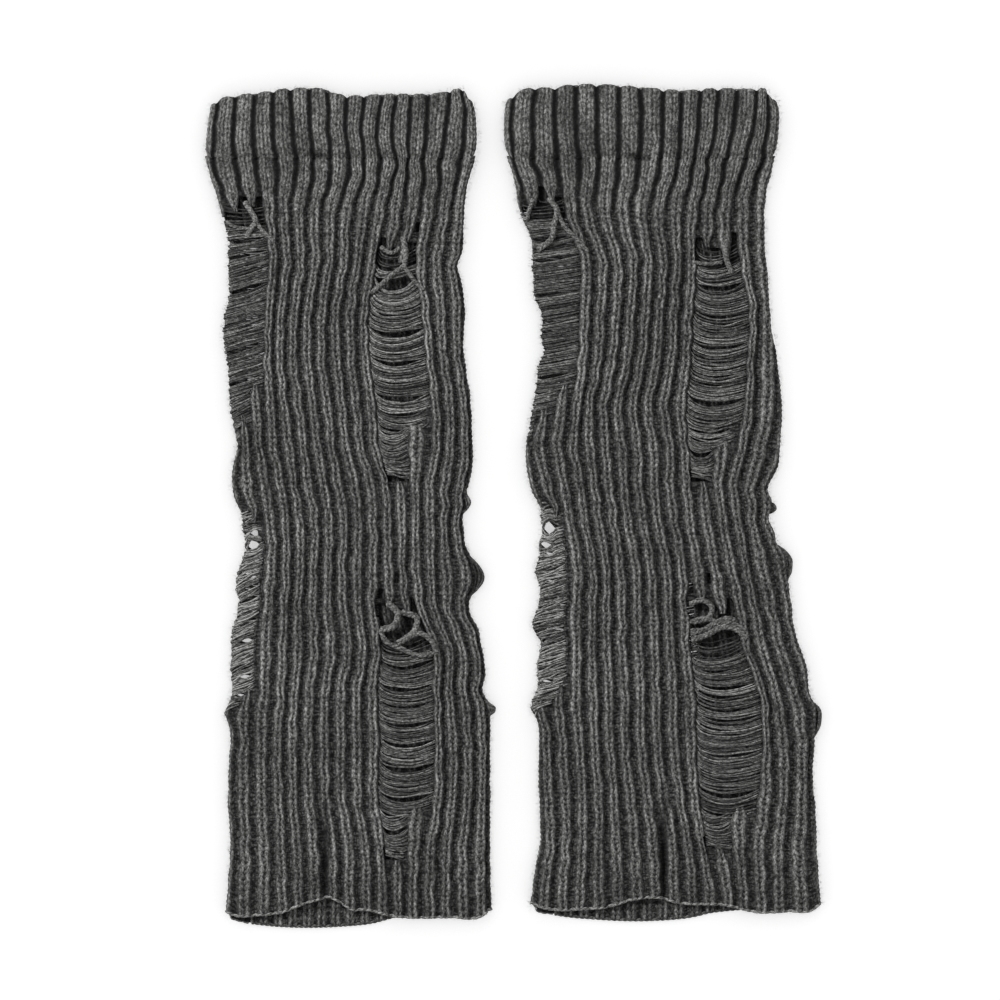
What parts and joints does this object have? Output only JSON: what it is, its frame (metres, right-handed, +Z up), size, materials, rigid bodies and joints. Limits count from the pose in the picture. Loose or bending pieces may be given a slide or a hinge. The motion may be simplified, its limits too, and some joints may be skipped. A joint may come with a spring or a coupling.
{
  "type": "pair of leg warmers",
  "caption": "Pair of rib-knit leg warmers with dropped-stitch ladders, laid flat side by side; each is a knitted tube with a doubled band at the top.",
  "frame": {"origin": "centre of the pair's outline, on the surface it lies on", "axes": "+Y along the legs towards the bands, +X from the left leg to the right leg, +Z up from the surface"},
  "size_m": [0.3086, 0.4216, 0.0079],
  "materials": {
    "rib_knit": "soft mottled charcoal knit",
    "rib_band": "soft mottled charcoal knit, doubled"
  },
  "bodies": {
    "root": {"left_front": "rib_knit", "left_back": "rib_knit", "left_band": "rib_band", "right_front": "rib_knit", "right_back": "rib_knit", "right_band": "rib_band"}
  },
  "joints": []
}
